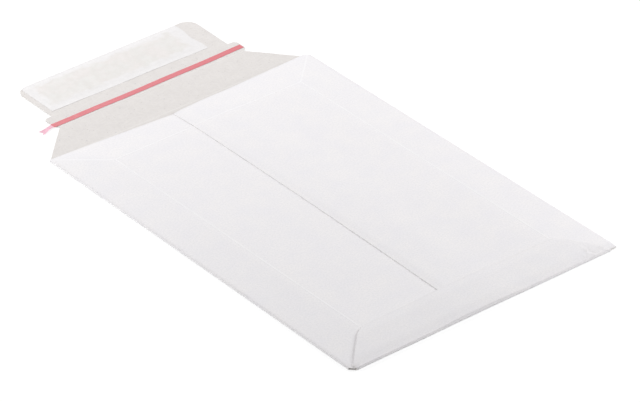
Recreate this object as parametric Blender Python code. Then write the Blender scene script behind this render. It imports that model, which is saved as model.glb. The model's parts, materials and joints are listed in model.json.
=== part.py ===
"""An open mailing envelope of solid board, white outside and grey inside, lying with its flap unfolded.

One die-cut sheet makes it. The two side panels fold over the rear panel and lap at an
off-centre seam. The bottom flap folds over them and is glued outside. The closure flap
carries a tear tape, and an adhesive band under its release liner.
Metres, +X across, +Y from the bottom fold to the closure flap, +Z up, table at z = 0.
"""

import math

import bpy
import numpy as np

# Sheet and pocket
BOARD = 0.0006
POCKET_WIDTH = 0.235
POCKET_LENGTH = 0.340
SIDE_FOLD_RADIUS = 0.00065
GLUE_GAP = 0.00035
PANEL_INSET = 0.002

# Score lines that let the pocket fill out, and how far the front has sprung up inside them
GUSSET = 0.0335
PLATEAU_RISE = 0.0032
CROWN = 0.0011
SHOULDER = 0.08
SCORE_WIDTH = 0.0012
SCORE_HEIGHT = 0.00012

# Mouth
THROAT_DEPTH = 0.0085
MOUTH_GAPE = 0.0011
GAPE_POWER = 1.6
MOUTH_RELIEF_WIDTH = 0.005
MOUTH_RELIEF_DEPTH = 0.0035

# Lapped seam of the two side panels
SEAM_X = -0.015
SEAM_SLANT = 0.0032
LAP_WIDTH = 0.024
LAP_FADE = 0.035
SEAM_GLUE_WIDTH = 0.012
SEAM_GLUE_INSET = 0.012
GLUE_THICKNESS = 0.00015

# Bottom flap, and the corners cut back beside it, with left and right values where the two differ
BOTTOM_FLAP_DEPTH = 0.033
BOTTOM_FLAP_INSET = (0.0042, 0.0065)
BOTTOM_FLAP_BEVEL = (0.98, 0.74)
BOTTOM_FLAP_CORNER = 0.007
CORNER_RELIEF = (0.0045, 0.0015)
BOTTOM_GLUE_DEPTH = 0.014
BOTTOM_GLUE_INSET = 0.009

# Closure flap: a 45-degree taper, cut in more at the right, a zone with a tab each side, and a narrower end
FLAP_GAP = 0.0003
FLAP_TAPER_DEPTH = 0.0335
TAB_REACH = 0.0035
TAB_DEPTH = 0.0155
TAB_CORNER = 0.0035
FLAP_END_STEP = 0.0037
FLAP_END_DEPTH = 0.046
FLAP_END_CORNER = 0.010
FLAP_LIFT = 0.0015
HINGE_HEIGHT = 0.0024

# Tear tape, laid a little askew across the tabs, with a tail to pull that spreads to a fork
TAPE_WIDTH = 0.005
TAPE_THICKNESS = 0.0001
TAPE_OFFSET = 0.0054
TAPE_WANDER = 0.0024
TAPE_INSET = 0.0007
TAIL_LENGTH = 0.0125
TAIL_NECK_LENGTH = 0.001
TAIL_NECK_WIDTH = 0.0034
TAIL_END_WIDTH = 0.0054
TAIL_SWAY = 0.0027
TAIL_HEIGHT = 0.0002
TAIL_NOTCH = 0.002

# Adhesive band and its release liner, set off-centre on the flap's end
LINER_LEFT_MARGIN = 0.0046
LINER_RIGHT_MARGIN = 0.0148
LINER_WIDTH = 0.041
LINER_INSET = 0.0003
LINER_THICKNESS = 0.0001
ADHESIVE_THICKNESS = 0.0001
ADHESIVE_LEFT_MARGIN = 0.0065
ADHESIVE_RIGHT_MARGIN = 0.0098
ADHESIVE_INNER_MARGIN = 0.008
ADHESIVE_OUTER_MARGIN = 0.0057
SEAT = 0.0001

# Faceting
ARC_STEPS = 6
LONG_STEP = 0.031
STEP = 0.017
SHORT_STEP = 0.0085
FLAP_COLUMNS = 11
BAND_ROWS = 4
TAIL_STEPS = 4

HALF = POCKET_WIDTH / 2
FOLD_X = HALF - BOARD / 2 - SIDE_FOLD_RADIUS
BOTTOM_FOLD_ENDS = (HALF - BOTTOM_FLAP_INSET[0], HALF - BOTTOM_FLAP_INSET[1])
MOUTH_RELIEF_X = HALF - MOUTH_RELIEF_WIDTH
EDGE_HEIGHT = BOARD / 2 + 2 * SIDE_FOLD_RADIUS
LAYER_PITCH = BOARD + GLUE_GAP
SCORE_X = HALF - GUSSET
SCORE_Y = POCKET_LENGTH - GUSSET
MOUTH_Y = POCKET_LENGTH - FLAP_GAP / 2
FLAP_TAPER_HALF = HALF - FLAP_TAPER_DEPTH
TAB_HALF = FLAP_TAPER_HALF + TAB_REACH
FLAP_END_HALF = FLAP_TAPER_HALF - FLAP_END_STEP
FLAP_REACH = FLAP_TAPER_DEPTH + TAB_DEPTH + FLAP_END_DEPTH
MIDDLE_Y = (POCKET_LENGTH + FLAP_REACH) / 2


def smoothstep(value):
    t = np.clip(value, 0.0, 1.0)
    return t * t * (3 - 2 * t)


def lower_of(a, b):
    """The smaller of two shares, rounded where they cross as a scored fold is."""
    return (a + b - np.sqrt((a - b) ** 2 + SHOULDER**2)) / 2


def stations(start, stop, longest):
    """Evenly spaced values from start to stop, no further apart than the longest step."""
    count = max(1, math.ceil(abs(stop - start) / longest - 1e-6))
    return np.linspace(start, stop, count + 1)


def through(*legs):
    """One run of stations through several (stop, longest step) legs, from the first leg's start."""
    start, *legs = legs
    runs = [np.array([start])]
    for stop, longest in legs:
        runs.append(stations(runs[-1][-1], stop, longest)[1:])
    return np.concatenate(runs)


def by_side(x, pair):
    """The left or the right value of a pair, whichever side of the middle x is on."""
    return np.where(x < 0, *pair)


def seam_at(y):
    """X of the upper panel's free edge, which runs slightly askew."""
    return SEAM_X + SEAM_SLANT * (y / POCKET_LENGTH - 0.5)


def slanted(x, y):
    """X of a front panel's column at each y: it takes the seam's slant there, and none at the score lines."""
    return x + (seam_at(y) - SEAM_X) * np.clip(1 - np.abs(x) / SCORE_X, 0, 1)


def throat_depth(x):
    """Depth of the front's mouth edge: two straight cuts that meet in a shallow V at the seam."""
    seam = seam_at(POCKET_LENGTH)
    share = np.where(x < seam, (x + HALF) / (seam + HALF), (HALF - x) / (HALF - seam))
    return THROAT_DEPTH * np.clip(share, 0, 1)


def mouth_relief(x):
    """Depth of the bevel that is cut off the mouth at its right side fold."""
    return MOUTH_RELIEF_DEPTH * np.clip((x - MOUTH_RELIEF_X) / (FOLD_X - MOUTH_RELIEF_X), 0, 1)


def corner_start(x, start):
    """Y at which a column starts: at its start across the bottom fold, then cut back to the side fold."""
    cut = by_side(x, CORNER_RELIEF)
    fold_end = by_side(x, BOTTOM_FOLD_ENDS)
    return start + (cut - start) * np.clip((np.abs(x) - fold_end) / (FOLD_X - fold_end), 0, 1)


def front_height(x, y):
    """Middle height of the lower front layer: a hip climbs from the folds and the mouth to a crowned top."""
    side = (HALF - np.abs(x)) / GUSSET
    bottom = y / GUSSET
    gape = MOUTH_GAPE / PLATEAU_RISE * (1 - np.clip(np.abs(x) / HALF, 0, 1) ** GAPE_POWER)
    mouth = gape + (1 - gape) * (POCKET_LENGTH - y) / GUSSET
    hip = lower_of(lower_of(side, mouth), lower_of(bottom, 1.0))
    across = np.cos(np.pi / 2 * np.clip(x / SCORE_X, -1, 1))
    along = np.sin(np.pi * np.clip((y - GUSSET) / (SCORE_Y - GUSSET), 0, 1))
    return EDGE_HEIGHT + PLATEAU_RISE * hip + CROWN * across * along


def score_bead(x, y):
    """Height of the raised score lines: one along each panel and one across both, short of the mouth."""
    along = 1 - np.abs(np.abs(x) - SCORE_X) / SCORE_WIDTH
    across = 1 - np.abs(y - SCORE_Y) / SCORE_WIDTH
    inside_y = (y > GUSSET) & (y < SCORE_Y + SCORE_WIDTH)
    inside_x = np.abs(x) < SCORE_X + SCORE_WIDTH
    return SCORE_HEIGHT * np.clip(np.maximum(along * inside_y, across * inside_x), 0, 1)


def lap_lift(x, y):
    """How far the upper panel has climbed over the lapped one, from 0 to 1."""
    return 1 - smoothstep((x - seam_at(y) - LAP_WIDTH) / LAP_FADE)


def lower_height(x, y):
    return front_height(x, y) + score_bead(x, y)


def upper_height(x, y):
    return lower_height(x, y) + LAYER_PITCH * lap_lift(x, y)


def bottom_flap_height(x, y):
    """Middle height of the bottom flap: a glue line above the panels, easing down over the seam's step."""
    over_seam = smoothstep((x - seam_at(y) + LAP_FADE) / (LAP_FADE - BOARD))
    return front_height(x, y) + LAYER_PITCH * (1 + over_seam * lap_lift(x, y))


def bottom_fold_radius(x):
    """Middle radius of the bottom fold, which takes in the panels that it wraps."""
    return (bottom_flap_height(x, PANEL_INSET) - BOARD / 2) / 2


def bottom_flap_half(x, y):
    """Width of the bottom flap on the side of x: bevelled, and rounded into its top edge."""
    bevel = by_side(x, BOTTOM_FLAP_BEVEL) * np.maximum(y - by_side(x, CORNER_RELIEF), 0)
    straight = by_side(x, BOTTOM_FOLD_ENDS) - bevel
    into = np.clip(y - BOTTOM_FLAP_DEPTH + BOTTOM_FLAP_CORNER, 0, BOTTOM_FLAP_CORNER)
    return straight - BOTTOM_FLAP_CORNER + np.sqrt(BOTTOM_FLAP_CORNER**2 - into**2)


def flap_underside(x, depth):
    """Height of the closure flap's underside: on the table, but sprung up a little at the right corner."""
    across = np.clip((x + FLAP_END_HALF) / (2 * FLAP_END_HALF), 0, 1)
    return FLAP_LIFT * across * np.clip(depth / FLAP_REACH, 0, 1) ** 2


def flap_top(x, y):
    return flap_underside(x, y - POCKET_LENGTH) + BOARD


def new_material(name, colour, roughness):
    material = bpy.data.materials.new(name)
    material.use_nodes = True
    shader = material.node_tree.nodes["Principled BSDF"]
    shader.inputs["Base Color"].default_value = (*colour, 1.0)
    shader.inputs["Roughness"].default_value = roughness
    return material


def grid_faces(index):
    """Quads between the rows and columns of an array of point numbers."""
    corners = index[:-1, :-1], index[:-1, 1:], index[1:, 1:], index[1:, :-1]
    return np.stack(corners, -1).reshape(-1, 4)


def new_sheet(name, points, faces, thickness, materials, hinge=None):
    """An object that gives a middle surface its thickness, half each side. Its origin is on any hinge."""
    place = np.array(hinge.location if hinge else (0.0, 0.0, 0.0))
    local = points - np.array([0.0, MIDDLE_Y, 0.0]) - place
    mesh = bpy.data.meshes.new(name)
    mesh.from_pydata(local.tolist(), [], faces.tolist())
    mesh.update()
    for material in materials:
        mesh.materials.append(material)
    sheet = bpy.data.objects.new(name, mesh)
    bpy.context.scene.collection.objects.link(sheet)
    sheet.parent = hinge
    solid = sheet.modifiers.new("Board", "SOLIDIFY")
    solid.thickness = thickness
    solid.offset = 0.0
    solid.use_even_offset = True
    solid.material_offset = len(materials) - 1
    return sheet


def new_grid(name, x, y, z, thickness, materials, hinge=None):
    """A sheet whose middle surface is one grid, seen from above with its rows along +Y."""
    index = np.arange(x.size).reshape(x.shape)
    points = np.stack([x, y, z], -1).reshape(-1, 3)
    return new_sheet(name, points, grid_faces(index), thickness, materials, hinge)


def side_fold(sign):
    """Section of a side fold's middle line, from the rear panel up to the front, without its two ends."""
    angle = np.linspace(0, np.pi, ARC_STEPS + 1)[1:-1]
    x = sign * (FOLD_X + SIDE_FOLD_RADIUS * np.sin(angle))
    z = BOARD / 2 + SIDE_FOLD_RADIUS * (1 - np.cos(angle))
    return x, z


def panel_columns(*lap):
    """X stations of a front panel from its fold to its free edge, as if on the right."""
    score = [(SCORE_X + SCORE_WIDTH, SHORT_STEP), (SCORE_X, STEP), (SCORE_X - SCORE_WIDTH, STEP)]
    return through(FOLD_X, (MOUTH_RELIEF_X, STEP), *score, *lap)


def pocket_rows():
    """Y stations from the bottom to the mouth, closer at the folds and the score lines."""
    score = [(SCORE_Y, STEP), (SCORE_Y + SCORE_WIDTH, STEP)]
    middle = [(GUSSET, SHORT_STEP), (SCORE_Y - SCORE_WIDTH, LONG_STEP)]
    return through(0.0, *middle, *score, (POCKET_LENGTH, SHORT_STEP))


def fitted_rows(rows, start, stop):
    """Rows whose first and last stretches are drawn in to each column's own start and stop."""
    near_bottom = np.clip(1 - rows / GUSSET, 0, 1)[:, None]
    near_mouth = np.clip((rows - SCORE_Y - SCORE_WIDTH) / (GUSSET - SCORE_WIDTH), 0, 1)[:, None]
    return rows[:, None] + start * near_bottom + (stop - POCKET_LENGTH) * near_mouth


def bottom_flap_points(x, fold_from):
    """The bottom fold and the bottom flap, as rows that start one step past the rear panel's edge."""
    angle = np.linspace(0, np.pi, ARC_STEPS + 1)[1:, None]
    radius = bottom_fold_radius(x)
    fold_y = fold_from - radius * np.sin(angle)
    fold_z = BOARD / 2 + radius * (1 - np.cos(angle))
    corner_from = BOTTOM_FLAP_DEPTH - BOTTOM_FLAP_CORNER
    turn = np.linspace(0, np.pi / 2, ARC_STEPS)[1:]
    depth = through(0.0, (max(CORNER_RELIEF), STEP), (corner_from, SHORT_STEP))[1:]
    depth = np.concatenate([depth, corner_from + BOTTOM_FLAP_CORNER * np.sin(turn)])[:, None]
    narrowed = x / by_side(x, BOTTOM_FOLD_ENDS) * bottom_flap_half(x, depth)
    flap_y = np.broadcast_to(depth, narrowed.shape)
    flap_z = bottom_flap_height(narrowed, flap_y)
    return (
        np.vstack([np.broadcast_to(x, fold_y.shape), narrowed]),
        np.vstack([fold_y, flap_y]),
        np.vstack([fold_z, flap_z]),
    )


def make_pocket(outside, inside):
    """One strip round the pocket, from the lower panel's free edge to the upper one's, and the bottom flap."""
    lower = -panel_columns((-SEAM_X, STEP), (-SEAM_X - LAP_WIDTH, STEP))[::-1]
    lap = [(SEAM_X + LAP_WIDTH + LAP_FADE, STEP), (SEAM_X + LAP_WIDTH, SHORT_STEP), (SEAM_X, STEP)]
    upper = panel_columns(*lap)
    fold_left, fold_right = -BOTTOM_FOLD_ENDS[0], BOTTOM_FOLD_ENDS[1]
    folded = [(fold_left, STEP), (fold_right, SHORT_STEP)]
    rear = through(-FOLD_X, *folded, (MOUTH_RELIEF_X, STEP), (FOLD_X, STEP))
    left_x, left_z = side_fold(-1)
    right_x, right_z = side_fold(1)
    column_x = np.concatenate([lower, left_x[::-1], rear, right_x, upper])
    ends = np.cumsum([len(lower), len(left_x), len(rear), len(right_x)])
    on_rear = slice(ends[1], ends[2])

    is_rear = np.zeros(len(column_x), bool)
    is_rear[on_rear] = True
    fold_from = bottom_fold_radius(column_x) + BOARD / 2
    start = corner_start(column_x, np.where(is_rear, fold_from, PANEL_INSET))
    stop = MOUTH_Y - mouth_relief(column_x) - np.where(is_rear, 0, throat_depth(column_x))
    y = fitted_rows(pocket_rows(), start, stop)

    x = np.broadcast_to(column_x, y.shape).copy()
    z = np.full(y.shape, BOARD / 2)
    panels = (slice(0, ends[0]), lower_height), (slice(ends[3], None), upper_height)
    for columns, height in panels:
        x[:, columns] = slanted(x[:, columns], y[:, columns])
        z[:, columns] = height(x[:, columns], y[:, columns])
    z[:, ends[0] : ends[1]] = left_z[::-1]
    z[:, ends[2] : ends[3]] = right_z

    index = np.arange(x.size).reshape(x.shape)
    wrapped = (rear > fold_left - BOARD / 2) & (rear < fold_right + BOARD / 2)
    across = np.arange(ends[1], ends[2])[wrapped]
    flap = bottom_flap_points(column_x[across], fold_from[across])
    flap_index = x.size + np.arange(flap[0].size).reshape(flap[0].shape)
    flap_index = np.vstack([index[:1, across], flap_index])[::-1]
    points = np.concatenate([np.stack(part, -1).reshape(-1, 3) for part in ((x, y, z), flap)])
    faces = np.concatenate([grid_faces(index), grid_faces(flap_index)])[:, ::-1]
    return new_sheet("pocket", points, faces, BOARD, (outside, inside))


def make_seam_glue(material):
    """The glue line that holds the two side panels together, in the middle of their lap."""
    rows = pocket_rows()
    rows = rows[(rows > SEAM_GLUE_INSET) & (rows < MOUTH_Y - THROAT_DEPTH - SEAM_GLUE_INSET)][:, None]
    middle = seam_at(rows) + LAP_WIDTH / 2
    x = middle + SEAM_GLUE_WIDTH * np.array([-0.5, 0.0, 0.5])
    y = np.broadcast_to(rows, x.shape)
    z = lower_height(x, y) + LAYER_PITCH / 2
    return new_grid("seam_glue", x, y, z, GLUE_THICKNESS, [material])


def make_bottom_glue(material):
    """The glue line under the bottom flap, clear of its edge."""
    end = BOTTOM_FLAP_DEPTH - BOTTOM_GLUE_INSET
    y = stations(end - BOTTOM_GLUE_DEPTH, end, SHORT_STEP)[:, None]
    left, right = bottom_flap_half(np.array([-HALF, HALF]), end) - BOTTOM_GLUE_INSET
    x, y = np.broadcast_arrays(stations(-left, right, SHORT_STEP), y)
    z = bottom_flap_height(x, y) - LAYER_PITCH / 2
    return new_grid("bottom_glue", x, y, z, GLUE_THICKNESS, [material])


def arc(centre_depth, centre_half, radius, turn_from, turn_to):
    """Depth and half-width along a round corner, with angles in degrees from the depth direction."""
    turn = np.radians(np.linspace(turn_from, turn_to, ARC_STEPS))
    return np.stack([centre_depth + radius * np.cos(turn), centre_half + radius * np.sin(turn)], -1)


def flap_edge():
    """The closure flap's right-hand edge as (depth, half-width): taper, tab, notch and end section."""
    tab_end = FLAP_TAPER_DEPTH + TAB_DEPTH
    tab = arc(tab_end - TAB_CORNER, TAB_HALF - TAB_CORNER, TAB_CORNER, 90, 10)
    end = arc(FLAP_REACH - FLAP_END_CORNER, FLAP_END_HALF - FLAP_END_CORNER, FLAP_END_CORNER, 90, 0)
    taper = np.array(
        [
            (FLAP_GAP / 2, HALF - BOARD),
            (FLAP_TAPER_DEPTH - SCORE_WIDTH, FLAP_TAPER_HALF + SCORE_WIDTH),
            (FLAP_TAPER_DEPTH, FLAP_TAPER_HALF),
            (FLAP_TAPER_DEPTH + SCORE_WIDTH, FLAP_TAPER_HALF + SCORE_WIDTH),
            (FLAP_TAPER_DEPTH + TAB_REACH, TAB_HALF),
        ]
    )
    notch = np.array([(tab_end, FLAP_END_HALF)])
    return np.concatenate([taper, tab, notch, end])


def make_closure_flap(outside, inside, hinge):
    """The flap that goes on from the rear panel, its inner face up."""
    edge = flap_edge()
    right_cut = MOUTH_RELIEF_WIDTH * np.clip(1 - edge[:, :1] / FLAP_TAPER_DEPTH, 0, 1)
    share = np.linspace(-1, 1, FLAP_COLUMNS)
    x = edge[:, 1:] * share - right_cut * np.maximum(share, 0)
    depth = np.broadcast_to(edge[:, :1], x.shape)
    score = SCORE_HEIGHT * np.clip(1 - np.abs(depth - FLAP_TAPER_DEPTH) / SCORE_WIDTH, 0, 1)
    z = flap_underside(x, depth) + BOARD / 2 + score
    new_grid("closure_flap", x, POCKET_LENGTH + depth, z, BOARD, (inside, outside), hinge)


def tape_line(x):
    """Y of the tear tape's middle: it wanders a little from one tab to the other."""
    share = (x + TAB_HALF) / (2 * TAB_HALF)
    return POCKET_LENGTH + FLAP_TAPER_DEPTH + TAPE_OFFSET + TAPE_WANDER * (share**2 - 0.5)


def make_tear_tape(material, hinge):
    """A flat tape on the flap, and a tail past the left tab that sinks to the table and spreads to a fork."""
    edge = TAB_HALF - TAPE_INSET
    neck = -TAB_HALF - TAIL_NECK_LENGTH
    x = through(-TAB_HALF - TAIL_LENGTH, (neck, TAIL_LENGTH / TAIL_STEPS), (-TAB_HALF, STEP), (edge, STEP))
    tail = smoothstep((-TAB_HALF - x) / TAIL_LENGTH)
    tail_width = TAIL_NECK_WIDTH + (TAIL_END_WIDTH - TAIL_NECK_WIDTH) * tail**2
    across = np.where(tail > 0, tail_width, TAPE_WIDTH) * np.array([[-0.5], [0.0], [0.5]])
    y = tape_line(np.maximum(x, -TAB_HALF)) - TAIL_SWAY * tail + across
    on_board = flap_top(x, y) + SEAT + TAPE_THICKNESS / 2
    z = on_board + (TAIL_HEIGHT - on_board) * tail
    x = np.tile(x, (len(across), 1))
    x[1, 0] += TAIL_NOTCH
    new_grid("tear_tape", x, y, z, TAPE_THICKNESS, [material], hinge)


def flap_end_at(x):
    """Y of the flap's outer end at each x, round its corners."""
    into = np.clip(np.abs(x) - FLAP_END_HALF + FLAP_END_CORNER, 0, FLAP_END_CORNER)
    return POCKET_LENGTH + FLAP_REACH - FLAP_END_CORNER + np.sqrt(FLAP_END_CORNER**2 - into**2)


def make_band(name, x, inner, outer, height, thickness, material, hinge):
    """A thin band above the flap's inner face, with columns at x, from its inner line to its outer one."""
    x, y = np.broadcast_arrays(x, inner + (outer - inner) * np.linspace(0, 1, BAND_ROWS)[:, None])
    z = flap_top(x, y) + height + thickness / 2
    new_grid(name, x, y, z, thickness, [material], hinge)


def make_adhesive_band(material, hinge):
    left = LINER_LEFT_MARGIN + ADHESIVE_LEFT_MARGIN - FLAP_END_HALF
    right = FLAP_END_HALF - LINER_RIGHT_MARGIN - ADHESIVE_RIGHT_MARGIN
    inner = POCKET_LENGTH + FLAP_REACH - LINER_WIDTH + ADHESIVE_INNER_MARGIN
    outer = POCKET_LENGTH + FLAP_REACH - ADHESIVE_OUTER_MARGIN
    x = stations(left, right, STEP)
    make_band("adhesive_band", x, inner, outer, SEAT, ADHESIVE_THICKNESS, material, hinge)


def make_release_liner(material, hinge):
    """The liner lies over the adhesive, flush with the flap's end and following its round left corner."""
    left = LINER_LEFT_MARGIN - FLAP_END_HALF
    right = FLAP_END_HALF - LINER_RIGHT_MARGIN
    corner = (max(left, FLAP_END_CORNER - FLAP_END_HALF), FLAP_END_CORNER / ARC_STEPS)
    x = through(left, corner, (right, STEP))
    inner = POCKET_LENGTH + FLAP_REACH - LINER_WIDTH
    outer = flap_end_at(x) - LINER_INSET
    over_adhesive = SEAT + ADHESIVE_THICKNESS + SEAT
    make_band("release_liner", x, inner, outer, over_adhesive, LINER_THICKNESS, material, hinge)


def main():
    for thing in list(bpy.data.objects):
        bpy.data.objects.remove(thing, do_unlink=True)
    outside = new_material("white_board", (0.87, 0.87, 0.88), 0.6)
    inside = new_material("grey_board", (0.72, 0.69, 0.65), 0.85)
    glue = new_material("glue", (0.82, 0.80, 0.74), 0.5)
    tape = new_material("red_tape", (0.80, 0.20, 0.22), 0.35)
    adhesive = new_material("adhesive", (0.80, 0.74, 0.62), 0.45)
    paper = new_material("release_paper", (0.86, 0.85, 0.84), 0.35)

    hinge = bpy.data.objects.new("mouth_score_line", None)
    hinge.location = (0.0, POCKET_LENGTH - MIDDLE_Y, HINGE_HEIGHT)
    bpy.context.scene.collection.objects.link(hinge)

    make_pocket(outside, inside)
    make_seam_glue(glue)
    make_bottom_glue(glue)
    make_closure_flap(outside, inside, hinge)
    make_tear_tape(tape, hinge)
    make_adhesive_band(adhesive, hinge)
    make_release_liner(paper, hinge)


main()
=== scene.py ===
"""An open mailing envelope of solid board, white outside and grey inside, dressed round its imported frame.

The sections follow the envelope as it is put together: the folded and glued board, its two glue
lines, the tear tape, the adhesive band and its release liner, and then the table, light and camera.
Metres, +X across, +Y from the bottom fold to the closure flap, +Z up, table at z = 0.
"""

import json
import math

import bpy
import numpy as np
from mathutils import Matrix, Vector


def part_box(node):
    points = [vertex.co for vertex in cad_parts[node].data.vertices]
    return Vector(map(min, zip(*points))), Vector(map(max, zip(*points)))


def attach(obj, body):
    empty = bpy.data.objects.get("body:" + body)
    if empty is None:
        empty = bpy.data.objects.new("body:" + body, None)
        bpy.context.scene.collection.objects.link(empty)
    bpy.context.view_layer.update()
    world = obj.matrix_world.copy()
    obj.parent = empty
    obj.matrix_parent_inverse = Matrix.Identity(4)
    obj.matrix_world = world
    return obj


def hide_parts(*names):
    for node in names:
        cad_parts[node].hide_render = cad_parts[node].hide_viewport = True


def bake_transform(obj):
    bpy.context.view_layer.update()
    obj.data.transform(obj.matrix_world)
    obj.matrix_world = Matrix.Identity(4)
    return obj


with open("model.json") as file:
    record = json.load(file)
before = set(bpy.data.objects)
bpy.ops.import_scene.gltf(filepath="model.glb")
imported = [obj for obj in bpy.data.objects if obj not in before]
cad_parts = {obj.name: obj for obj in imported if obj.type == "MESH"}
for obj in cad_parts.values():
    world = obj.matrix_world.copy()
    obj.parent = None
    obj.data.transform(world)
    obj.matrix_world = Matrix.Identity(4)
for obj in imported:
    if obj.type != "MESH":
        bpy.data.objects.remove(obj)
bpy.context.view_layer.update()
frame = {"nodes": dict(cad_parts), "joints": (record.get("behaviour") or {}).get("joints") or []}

# The board: one die-cut sheet of 0.6 mm solid board, coated white outside and recycled grey inside.
# Its side panels fold over the rear panel and lap at an off-centre seam, the bottom flap folds over
# them, and the closure flap goes on past the mouth.
board = 0.0006
pocket_low, pocket_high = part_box("pocket")
flap_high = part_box("closure_flap")[1]
fold_joint = next(joint for joint in frame["joints"] if joint["name"] == "flap_fold")
mouth_y = fold_joint["pos_m"][1]
half = pocket_high.x
foot_y = pocket_low.y
length = mouth_y - foot_y
flap_reach = flap_high.y - mouth_y

side_fold_radius = 0.00065
fold_x = half - board / 2 - side_fold_radius
edge_height = board / 2 + 2 * side_fold_radius
layer_pitch = board + 0.00035
panel_inset = 0.0012
gusset = 0.0335
score_x = half - gusset
score_b = length - gusset
plateau_rise = 0.0032
crown = 0.0011
shoulder = 0.08
throat = 0.0085
mouth_gape = 0.0011
gape_power = 1.6
mouth_relief_x = half - 0.005
mouth_relief_depth = 0.0035
seam_x = -0.015
seam_slant = 0.0032
lap_width = 0.024
lap_fade = 0.035
press = 0.00031
press_reach = 0.008
lap_press = 0.00045
lap_thinning = 0.45
pinch_depth = 0.0006
pinch_reach = 0.010

bead_height = 0.00013
bead_width = 0.00045
groove_height = 0.00004
groove_offset = 0.0012
wave_height = 0.00022
wave_rest = 0.02


def smoothstep(value):
    """0 below 0, 1 above 1, and 3t^2 - 2t^3 between."""
    t = np.clip(value, 0.0, 1.0)
    return t * t * (3 - 2 * t)


def lower_of(a, b):
    """The smaller of two shares, rounded where they cross: half of a + b - root((a - b)^2 + shoulder^2)."""
    return (a + b - np.sqrt((a - b) ** 2 + shoulder**2)) / 2


def by_side(x, pair):
    """The left or the right value of a pair, whichever side of the middle x is on."""
    return np.where(x < 0, *pair)


def seam_at(b):
    """X of the upper panel's free edge at the distance b from the bottom fold: a line, a little askew."""
    return seam_x + seam_slant * (b / length - 0.5)


def slanted(x, b):
    """X of a front panel's column: it takes the seam's slant at the middle, and none at the score lines."""
    return x + (seam_at(b) - seam_x) * np.clip(1 - np.abs(x) / score_x, 0, 1)


def throat_depth(x):
    """Depth of the front's mouth edge: two straight cuts that meet in a shallow V at the seam."""
    seam = seam_at(length)
    share = np.where(x < seam, (x + half) / (seam + half), (half - x) / (half - seam))
    return throat * np.clip(share, 0, 1)


def mouth_relief(x):
    """Depth of the straight bevel that is cut off the mouth at its right side fold."""
    return mouth_relief_depth * np.clip((x - mouth_relief_x) / (fold_x - mouth_relief_x), 0, 1)


def waves(x, b):
    """A hand's breadth of unevenness: three crossed sines, at rest at the edges and in the lap."""
    swell = np.sin(61 * x + 0.8) * np.sin(37 * b + 1.1)
    swell = swell + 0.6 * np.sin(83 * x - 47 * b) + 0.5 * np.sin(29 * x + 74 * b + 2.0)
    lap_middle = seam_at(b) + lap_width / 2
    clear = smoothstep((half - np.abs(x)) / wave_rest) * smoothstep((b - gusset / 2) / wave_rest)
    clear = clear * smoothstep((length - b) / wave_rest)
    clear = clear * smoothstep((np.abs(x - lap_middle) - lap_width / 2) / wave_rest)
    return wave_height / 2 * swell * clear


def pinch(b):
    """How far the pocket is creased flat near the bottom fold, easing out as a smoothstep up the panels."""
    return pinch_depth * (1 - smoothstep(b / pinch_reach))


def front_height(x, b):
    """Middle height of the lower front layer: a hip from the folds and the mouth to a crowned, uneven top."""
    side = (half - np.abs(x)) / gusset
    gape = mouth_gape / plateau_rise * (1 - np.clip(np.abs(x) / half, 0, 1) ** gape_power)
    mouth = gape + (1 - gape) * (length - b) / gusset
    hip = lower_of(lower_of(side, mouth), lower_of(b / gusset, 1.0))
    across = np.cos(np.pi / 2 * np.clip(x / score_x, -1, 1))
    along = np.sin(np.pi * np.clip((b - gusset) / (score_b - gusset), 0, 1))
    return edge_height - pinch(b) + plateau_rise * hip + crown * across * along + waves(x, b)


def bead(distance):
    """Section of a pressed score line: a Gaussian bead between two shallow grooves."""
    crest = np.exp(-((distance / bead_width) ** 2))
    grooves = np.exp(-(((np.abs(distance) - groove_offset) / bead_width) ** 2))
    return bead_height * crest - groove_height * grooves


def score_lines(x, b):
    """Beads along both panels, and one across them short of the mouth, all fading at their ends."""
    end = 0.0015
    inside_b = smoothstep((b - gusset) / end) * smoothstep((score_b - b) / end + 1)
    inside_x = smoothstep((score_x - np.abs(x)) / end + 1)
    return bead(np.abs(x) - score_x) * inside_b + bead(b - score_b) * inside_x


def lap_lift(x, b):
    """How far the upper panel has climbed over the lapped one, from 0 to 1."""
    return 1 - smoothstep((x - seam_at(b) - lap_width) / lap_fade)


def lower_height(x, b):
    """The panel on the left, which the other one laps: the front's height with its score lines."""
    return front_height(x, b) + score_lines(x, b)


def lap_pressed(x, b):
    """How far the upper panel is crushed onto the lower one, from 1 at its free edge to 0 in the lap."""
    return 1 - smoothstep((x - seam_at(b)) / press_reach)


def upper_height(x, b):
    """The upper panel a glue line above the lower one where they lap, its free edge pressed down on it."""
    return lower_height(x, b) + layer_pitch * lap_lift(x, b) - lap_press * lap_pressed(x, b)


# Left and right values, where the two corners of the bottom flap differ
bottom_flap_depth = 0.033
bottom_fold_ends = (half - 0.0042, half - 0.0065)
bottom_flap_bevel = (0.98, 0.74)
bottom_flap_corner = 0.007
corner_relief = (0.0045, 0.0015)

# Small folds where the near right corner was knocked: x, b, turn in degrees, length and height
knocks = (
    (0.0962, 0.0086, 75, 0.0030, 0.00034),
    (0.1058, 0.0050, 40, 0.0032, 0.00036),
    (0.1085, 0.0028, 110, 0.0022, 0.00028),
    (0.0905, 0.0034, 60, 0.0026, 0.00024),
    (0.0975, 0.0030, 130, 0.0026, 0.00030),
)
knock_width = 0.0014
knock_from = 0.086
knock_reach = 0.0105
fold_line_b = 0.002
end_press = 0.0003


def knocked(x, b):
    """A ridge beside a valley at each knock: s exp(-s^2 - t^2), with s across its line and t along it."""
    height = 0.0
    for knock_x, knock_b, turn, reach, rise in knocks:
        away_x, away_b = x - knock_x, b - knock_b
        cosine, sine = math.cos(math.radians(turn)), math.sin(math.radians(turn))
        along = (away_x * cosine + away_b * sine) / reach
        across = (away_b * cosine - away_x * sine) / knock_width
        height = height + 2 * rise * across * np.exp(-(across**2) - along**2)
    return height


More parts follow.
